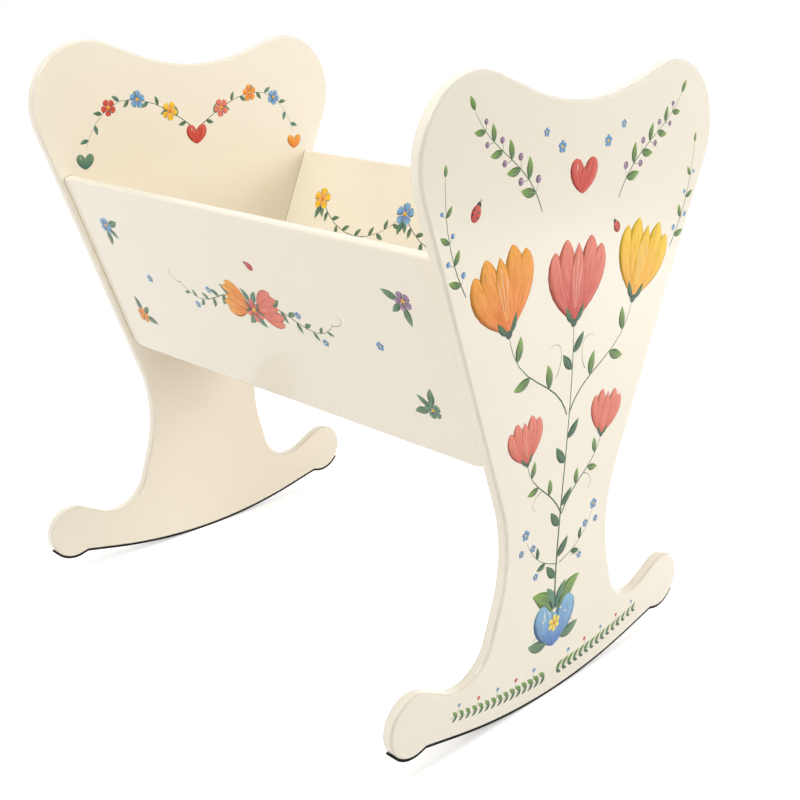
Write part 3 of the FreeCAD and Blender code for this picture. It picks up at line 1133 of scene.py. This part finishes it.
@dataclass(frozen=True)
class BoardSwags:
    """The hanging swags on the inner face of a side board, with heights up the board."""

    rise: float = 240.0
    spans: int = 3
    span: float = 214.0
    drop: float = 56.0
    blooms: tuple[Load, ...] = (SUN, SEA, FLAME, BLUSH)

    def swag(self, start: float) -> Strokes:
        """Paints one leafy swag.

        Args:
            start: where its left end hangs, along the board.

        Returns:
            Its stem, leaves, and the small flowers under its middle.
        """
        low = self.rise - self.drop * 4 / 3
        hangs = ((0, self.rise), (0.3, low), (0.7, low), (1, self.rise))
        sag = tuple((start + share * self.span, height) for share, height in hangs)
        strokes = stem(sag, 0.9)
        for spot in spots(sag, evenly(0.11, 0.078, 11)):
            strokes += spot.leaf(50, 20, 20, MOSS)
        (x, y), _ = on_curve(sag, 0.5)
        for across, down, size in ((0, 17, 16), (-15, 9, 11), (15, 9, 11)):
            strokes += forget_me_not((x + across, y - down), size)
        return strokes

    def strokes(self) -> Strokes:
        """Paints the swags side by side, with a flower where two of them meet.

        Returns:
            All its strokes.
        """
        ends = [self.span * (index - self.spans / 2) for index in range(self.spans + 1)]
        strokes = sum((self.swag(start) for start in ends[:-1]), [])
        for index, end in enumerate(ends):
            at = (end, self.rise)
            eye = Pot.YELLOW if index % 2 else Pot.ORANGE
            strokes += blossom(at, 42, self.blooms[index % len(self.blooms)], eye)
            strokes += leaf(step(at, -90, 13), -104, 27, 14, DUSK)
            strokes += leaf(step(at, -80, 13), -68, 23, -14, DUSK)
        return strokes


# Paintings


@dataclass(frozen=True)
class Board:
    """A flat face that is painted, with its own two directions."""

    origin: Triple | Array
    right: Triple | Array
    up: Triple | Array

    def place(self, flat: Array, out: Array) -> Array:
        """Returns points in metres, from places on the face and heights off it."""
        axes = np.array([self.right, self.up, np.cross(self.right, self.up)])
        return (self.origin + np.concatenate([flat, out[..., None]], axis=-1) @ axes) * MM


@dataclass(frozen=True)
class Painting:
    """All the strokes on one face, as one thin mesh. Each stroke is rings of points and two ends."""

    name: str
    board: Board
    strokes: Strokes
    rings: int = 11
    around: int = 6
    end_share: float = 0.07
    layer_step: float = 0.05
    relief: float = 0.22
    relief_share: float = 0.3
    root: float = 0.06
    side_load: float = 0.16
    streak_length: float = 10.0
    seed_step: float = 3.7

    def faces(self) -> list[list[int]]:
        """Numbers the faces of all strokes: each a tube, and triangles round the point at each end.

        Returns:
            The corner numbers of each face.
        """
        quads = ring_faces(self.rings, self.around, closed=False)
        tip, last = self.rings * self.around, (self.rings - 1) * self.around
        pairs = [(point, (point + 1) % self.around) for point in range(self.around)]
        caps = [[tip, after, point] for point, after in pairs]
        caps += [[tip + 1, last + point, last + after] for point, after in pairs]
        starts = range(0, len(self.strokes) * (tip + 2), tip + 2)
        return [[start + corner for corner in face] for start in starts for face in quads + caps]

    def build(self) -> Thing:
        """Builds the strokes as flat closed tubes.

        A stroke's ring at a share of its curve is a flattened circle: the cosine goes across the
        stroke, times its width there, and the sine goes out of the face, where the upper half is a
        low dome and the lower half is sunk into the wood.

        Returns:
            The mesh object.
        """
        turn = circle(self.around)
        share = (1 - np.cos(np.linspace(self.end_share, 1 - self.end_share, self.rings) * np.pi)) / 2
        along = np.append(np.repeat(share, self.around), (0, 1))
        across, rise = (np.append(np.tile(way, self.rings), (0, 0)) for way in (np.cos(turn), np.sin(turn)))
        width = np.array([stroke.half_width * stroke.swell.widths(along) for stroke in self.strokes])
        base = np.array([[stroke.layer * self.layer_step] for stroke in self.strokes])
        centre, run = bezier(np.array([stroke.path for stroke in self.strokes]), along)
        run /= np.linalg.norm(run, axis=-1, keepdims=True)
        sideways = np.stack([-run[..., 1], run[..., 0]], axis=-1)
        dome = np.minimum(self.relief, self.relief_share * width) * np.clip(rise, 0, None)
        out = np.where(rise < -0.1, -self.root, base + dome)
        out[:, -2:] = base / 2
        points = self.board.place(centre + (width * across)[..., None] * sideways, out)
        made = mesh_object(self.name, points, self.faces())
        self.colour(made.data, along, across)
        return made

    def colour(self, mesh: bpy.types.Mesh, along: Array, across: Array) -> None:
        """Gives each vertex its stroke's colour, and its place along and across the stroke.

        The colour runs evenly from the start colour to the end colour, and one side of the brush
        carries a slightly darker load.

        Args:
            mesh: the painting's mesh.
            along: places of a stroke's points along it, from 0 to 1.
            across: their places across it, from -1 to 1.
        """
        tones = np.array([[linear(pot.value) for pot in stroke.colours] for stroke in self.strokes])
        start, end = tones[:, :1], tones[:, 1:]
        load = 1 - self.side_load * np.clip(across, 0, 1)
        colours = (start + (end - start) * along[:, None]) * load[:, None]
        colours = np.pad(colours, ((0, 0), (0, 0), (0, 1)), constant_values=1)
        layer = mesh.color_attributes.new("stroke colour", "FLOAT_COLOR", "POINT")
        layer.data.foreach_set("color", colours.astype(np.float32).ravel())
        length = np.array([[math.dist(stroke.path[0], stroke.path[3])] for stroke in self.strokes])
        seed = np.arange(len(self.strokes))[:, None] * self.seed_step
        places = np.stack([seed + length / self.streak_length * along, seed + across], axis=-1)
        corners = np.empty(len(mesh.loops), np.int32)
        mesh.loops.foreach_get("vertex_index", corners)
        places = places.reshape(-1, 2)[corners].astype(np.float32)
        mesh.uv_layers.new(name="stroke").data.foreach_set("uv", places.ravel())


@dataclass(frozen=True)
class MotifPainter:
    """Lays the designs on the cradle's faces."""

    finish: Finish = ArtistPaint()

    def boards(self) -> dict[str, Board]:
        """Gives the painted faces.

        Returns:
            Each face by name. The side boards' faces start at the middle of their low edge.
        """
        faces = {}
        inner, outer = SIZES.half_inside, SIZES.half_inside + SIZES.panel_thickness
        for end, name in ENDS:
            faces[f"{name}_outer"] = Board((0, end * outer, 0), (-end, 0, 0), (0, 0, 1))
            faces[f"{name}_inner"] = Board((0, end * inner, 0), (end, 0, 0), (0, 0, 1))
        for side, name in SIDES:
            low, out, up = SIZES.side_board(side)
            faces[f"{name}_outer"] = Board(low, (0, side, 0), up)
            faces[f"{name}_inner"] = Board(low - out * SIZES.side_thickness, (0, -side, 0), up)
        return faces

    def designs(self) -> dict[str, Strokes]:
        """Designs the paintings.

        Returns:
            Each face's strokes by the face's name.
        """
        designs = {"foot_outer": PanelDesign(), "head_outer": PanelDesign(SUN, FLAME, SEA, CHERRY)}
        designs |= {f"{name}_inner": PanelGarland() for _, name in reversed(ENDS)}
        designs |= {f"{name}_outer": BoardGarland() for _, name in SIDES}
        designs |= {f"{name}_inner": BoardSwags() for _, name in reversed(SIDES)}
        return {face: design.strokes() for face, design in designs.items()}

    def build(self) -> list[Thing]:
        """Builds one painting per face.

        Returns:
            The paintings.
        """
        material, boards, made = self.finish.material(), self.boards(), []
        for face, strokes in self.designs().items():
            painting = Painting(f"{face}_painting", boards[face], strokes).build()
            painting.data.materials.append(material)
            made.append(painting)
            log.info("%s: %d strokes, %d faces", painting.name, len(strokes), len(painting.data.polygons))
        return made


# The joints and the solids


@dataclass(frozen=True)
class JointLines:
    """The thin stained line round each end of a side board, on the panel's inner face."""

    radius: float = 0.45
    around: int = 6
    corner_points: int = 7
    finish: Finish = CloudyFinish(
        "joint line", (0.60, 0.50, 0.36), (0.42, 0.33, 0.22), clouds=(45.0, 4.0), patches=(0.35, 0.65),
        gloss=(0.3, 0.7, 0.5, 0.7), grain=(45.0, 4.0), depth=0.05,
    )

    def section(self) -> tuple[Array, Array]:
        """Traces the outline of a side board's end.

        The outline is a box whose corners are quarter ellipses. The low ones are longer up the
        board, because the board's end cuts through its rounded low corner at a slant.

        Returns:
            Points and outward directions, each as (out of the board, up the board).
        """
        wide, radius = SIZES.edge_round, SIZES.low_corner_radius
        low = radius - math.sqrt(radius**2 - (radius - SIZES.length_overrun) ** 2)
        tall = wide * radius / (radius - low)
        inner, top = wide - SIZES.side_thickness, SIZES.side_width - wide
        centre = np.array([(-wide, top), (inner, top), (inner, low + tall), (-wide, low + tall)])
        radii = np.array([(wide, wide), (wide, wide), (wide, tall), (wide, tall)])[:, None]
        turn = np.radians(np.linspace(0, 90, self.corner_points) + 90 * np.arange(4)[:, None])
        way = np.stack([np.cos(turn), np.sin(turn)], axis=-1)
        normals = way / radii
        normals /= np.linalg.norm(normals, axis=-1, keepdims=True)
        return (centre[:, None] + way * radii).reshape(-1, 2), normals.reshape(-1, 2)

    def build(self) -> list[Thing]:
        """Carries a small circle round the outline at each end of both boards.

        Returns:
            Four closed rings.
        """
        points, normals = self.section()
        faces = ring_faces(len(points), self.around, closed=True)
        turn = circle(self.around)[:, None]
        material, made = self.finish.material(), []
        for side, side_name in SIDES:
            low, out, up = SIZES.side_board(side)
            for end, end_name in ENDS:
                middle = low + points @ (out, up)
                middle[:, 1] = end * SIZES.half_inside
                away, along = normals @ (out, up), np.array([0.0, -side, 0.0])
                tube = middle[:, None] + self.radius * (np.cos(turn) * away[:, None] + np.sin(turn) * along)
                thing = mesh_object(f"{side_name}_{end_name}_joint_line", tube * MM, faces)
                thing.data.materials.append(material)
                made.append(thing)
                log.info("%s: %d faces", thing.name, len(faces))
        return made


@dataclass(frozen=True)
class CradleBody:
    """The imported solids, which keep their shape and get their finishes here."""

    # The panels' upward roundings get painted shade that dims their highlight.
    panel_paint: Finish = GlossPaint("panel gloss paint", (150.0, 150.0, 5.0), arris_shade_upward=1.4)
    board_paint: Finish = GlossPaint("board gloss paint", (150.0, 5.0, 150.0), scuff_reach=0.01)
    plywood: Finish = BareTimber("birch plywood", (0.87, 0.76, 0.59), (0.74, 0.59, 0.41), 5.0, layers=True)
    softwood: Finish = BareTimber("planed softwood", (0.88, 0.75, 0.54), (0.72, 0.53, 0.32), 30.0)
    hardwood: Finish = BareTimber("dowel hardwood", (0.80, 0.64, 0.46), (0.62, 0.44, 0.29), 60.0)
    steel: Finish = CloudyFinish(
        "zinc plated steel", (0.80, 0.79, 0.76), (0.62, 0.60, 0.55), clouds=(700.0, 3.0), patches=(0.4, 0.7),
        gloss=(0.3, 0.7, 0.24, 0.42), grain=(3200.0, 1.0), depth=0.01, metallic=1.0,
    )
    rubber: Finish = CloudyFinish(
        "black tread rubber", (0.014, 0.013, 0.012), (0.05, 0.047, 0.044), clouds=(60.0, 4.0),
        patches=(0.48, 0.72), gloss=(0.48, 0.72, 0.55, 0.8), grain=(1500.0, 2.0), depth=0.06, share=0.5,
        specular=0.15,
    )

    def dress(self, nodes: dict[str, Thing]) -> None:
        """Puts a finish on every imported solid, by the ending of its name.

        Args:
            nodes: the solids' objects by name.
        """
        finishes = {"_end_panel": self.panel_paint}
        for side, name in SIDES:
            facing = tuple(SIZES.side_board(side)[1])
            paint = replace(self.board_paint, name=f"{name} board gloss paint", facing=facing)
            finishes[f"{name}_side_board"] = paint
        finishes["base_board"] = self.plywood
        across = replace(self.softwood, name="planed softwood across", grain_along_x=True)
        finishes |= {f"{name}_base_cleat": across for _, name in ENDS}
        finishes |= {"_cleat": self.softwood, "_dowels": self.hardwood}
        finishes |= {"_screws": self.steel, "_tread": self.rubber}
        materials = {ending: finish.material() for ending, finish in finishes.items()}
        for name, thing in nodes.items():
            material = next(made for ending, made in materials.items() if name.endswith(ending))
            thing.data.materials.clear()
            thing.data.materials.append(material)
            log.info("%s: %s", name, material.name)


# The studio


def link_turned(name: str, data: bpy.types.ID, axes: Iterable[Array], place: Triple) -> Thing:
    """Links a lamp or a camera.

    Args:
        name: its name.
        data: its lamp or camera data.
        axes: its right, its up and the way back from what it faces.
        place: where it stands, in metres.

    Returns:
        The object.
    """
    thing = bpy.data.objects.new(name, data)
    thing.matrix_world = Matrix([*np.stack([*axes, place], axis=-1).tolist(), (0, 0, 0, 1)])
    bpy.context.scene.collection.objects.link(thing)
    return thing


@dataclass(frozen=True)
class SoftLamp:
    """A square lamp that points at the cradle, with its place and its size in metres."""

    name: str
    place: Triple
    size: float
    watts: float
    colour: Triple = (1.0, 1.0, 1.0)
    mirrored_in_gloss: bool = True

    def light(self, target: Triple) -> None:
        """Adds the lamp.

        Args:
            target: the point it faces, in metres.
        """
        data = bpy.data.lights.new(self.name, "AREA")
        data.shape = "SQUARE"
        data.size = self.size
        data.energy = self.watts
        data.color = self.colour
        away = np.subtract(self.place, target)
        away /= np.linalg.norm(away)
        right = np.cross((0.0, 0.0, 1.0), away)
        right /= np.linalg.norm(right)
        lamp = link_turned(self.name, data, (right, np.cross(away, right), away), self.place)
        lamp.visible_glossy = self.mirrored_in_gloss


@dataclass(frozen=True)
class Studio:
    """A pale floor, a white surround and soft lamps, with lengths in metres."""

    floor_half: float = 14.0
    floor_colour: Triple = (0.95, 0.95, 0.95)
    near_glow: float = 0.36
    far_glow: float = 0.85
    glow_from: float = 0.5
    glow_to: float = 3.2
    ambient: float = 0.32
    target: Triple = (0.0, 0.0, 0.45)
    lamps: tuple[SoftLamp, ...] = (
        SoftLamp("right front lamp", (2.8, -2.4, 2.0), 2.4, 89.0, (1.0, 0.98, 0.95), mirrored_in_gloss=False),
        SoftLamp("top lamp", (0.4, 0.2, 3.4), 2.4, 22.0, (0.96, 0.98, 1.0)),
        SoftLamp("left lamp", (-3.0, 0.2, 1.9), 1.6, 14.0, (1.0, 0.84, 0.72)),
        SoftLamp("left top lamp", (-1.7, -0.4, 3.0), 1.4, 37.0, (0.84, 0.95, 1.0)),
        SoftLamp("left front lamp", (-3.0, -1.2, 2.6), 1.8, 9.0, (1.0, 0.89, 0.80)),
        SoftLamp("back lamp", (0.6, 3.6, 2.0), 2.6, 52.0, mirrored_in_gloss=False),
    )

    def world(self) -> None:
        """Makes the surround plain white to the camera and in reflections, and softer as a light."""
        world = bpy.data.worlds.new("white surround")
        graph = graph_in(world)
        ray = graph.node("ShaderNodeLightPath").outputs
        seen = graph.math("MAXIMUM", ray["Is Camera Ray"], ray["Is Transmission Ray"])
        seen = graph.math("MAXIMUM", seen, ray["Is Glossy Ray"])
        strength = graph.remap(seen, 0.0, 1.0, self.ambient)
        glow = graph.out("ShaderNodeBackground", {"Color": WHITE, "Strength": strength})
        graph.node("ShaderNodeOutputWorld", {"Surface": glow})
        bpy.context.scene.world = world

    def floor(self) -> None:
        """Lays the floor, which keeps the cradle's shadow and is lifted to white for the camera."""
        corners = np.array([(-1, -1, 0), (1, -1, 0), (1, 1, 0), (-1, 1, 0)]) * self.floor_half
        floor = mesh_object("studio_floor", corners, [[0, 1, 2, 3]])
        made = bpy.data.materials.new("pale floor")
        graph = graph_in(made)
        ray = graph.node("ShaderNodeLightPath").outputs
        seen = graph.math("MAXIMUM", ray["Is Camera Ray"], ray["Is Glossy Ray"])
        away = graph.out("ShaderNodeVectorMath", {0: graph.place()}, "Value", operation="LENGTH")
        lift = graph.remap(away, self.glow_from, self.glow_to, self.near_glow, self.far_glow)
        matt = graph.out("ShaderNodeBsdfDiffuse", {"Color": self.floor_colour})
        glow = graph.out("ShaderNodeEmission", {"Color": WHITE, "Strength": graph.product(seen, lift)})
        both = graph.out("ShaderNodeAddShader", {0: matt, 1: glow})
        graph.node("ShaderNodeOutputMaterial", {"Surface": both})
        floor.data.materials.append(made)

    def build(self) -> None:
        """Sets up the surround, the floor and the lamps."""
        self.world()
        self.floor()
        for lamp in self.lamps:
            lamp.light(self.target)


@dataclass(frozen=True)
class PhotoCamera:
    """The camera that saw the cradle in the photograph, found from its outlines.

    Its place and near limit are metres.
    """

    place: Triple = (-1.2885, -1.3282, 1.0023)
    azimuth: float = -46.387
    elevation: float = 19.066
    roll: float = 1.059
    lens: float = 53.545
    sensor: float = 36.0
    near_limit: float = 0.05

    def build(self) -> None:
        """Adds the camera.

        The way back from the view is (sin a cos e, -cos a cos e, sin e) for the azimuth a and the
        elevation e, and the roll turns the camera's right towards its up about that way.
        """
        around, above, roll = np.radians([self.azimuth, self.elevation, self.roll])
        level = np.array([np.cos(around), np.sin(around), 0.0])
        back = np.array([level[1] * np.cos(above), -level[0] * np.cos(above), np.sin(above)])
        right = level * np.cos(roll) + np.cross(back, level) * np.sin(roll)
        data = bpy.data.cameras.new("photo camera")
        data.lens = self.lens
        data.sensor_width = self.sensor
        data.clip_start = self.near_limit
        axes = (right, np.cross(back, right), back)
        bpy.context.scene.camera = link_turned("photo camera", data, axes, self.place)


def clear_scene(kept: Iterable[Thing]) -> None:
    """Removes what a new file holds besides the objects to keep."""
    for thing in set(bpy.data.objects) - set(kept):
        bpy.data.objects.remove(thing)


def main() -> None:
    """Builds the cradle's dress, the studio and the camera."""
    logging.basicConfig(level=logging.INFO, format="%(name)s: %(message)s")
    clear_scene([*frame["nodes"].values(), *frame["bodies"].values()])
    bpy.context.scene.view_settings.view_transform = "Standard"
    CradleBody().dress(frame["nodes"])
    for piece in MotifPainter().build() + JointLines().build():
        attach(piece, BODY)
    Studio().build()
    PhotoCamera().build()


if __name__ == "__main__":
    main()
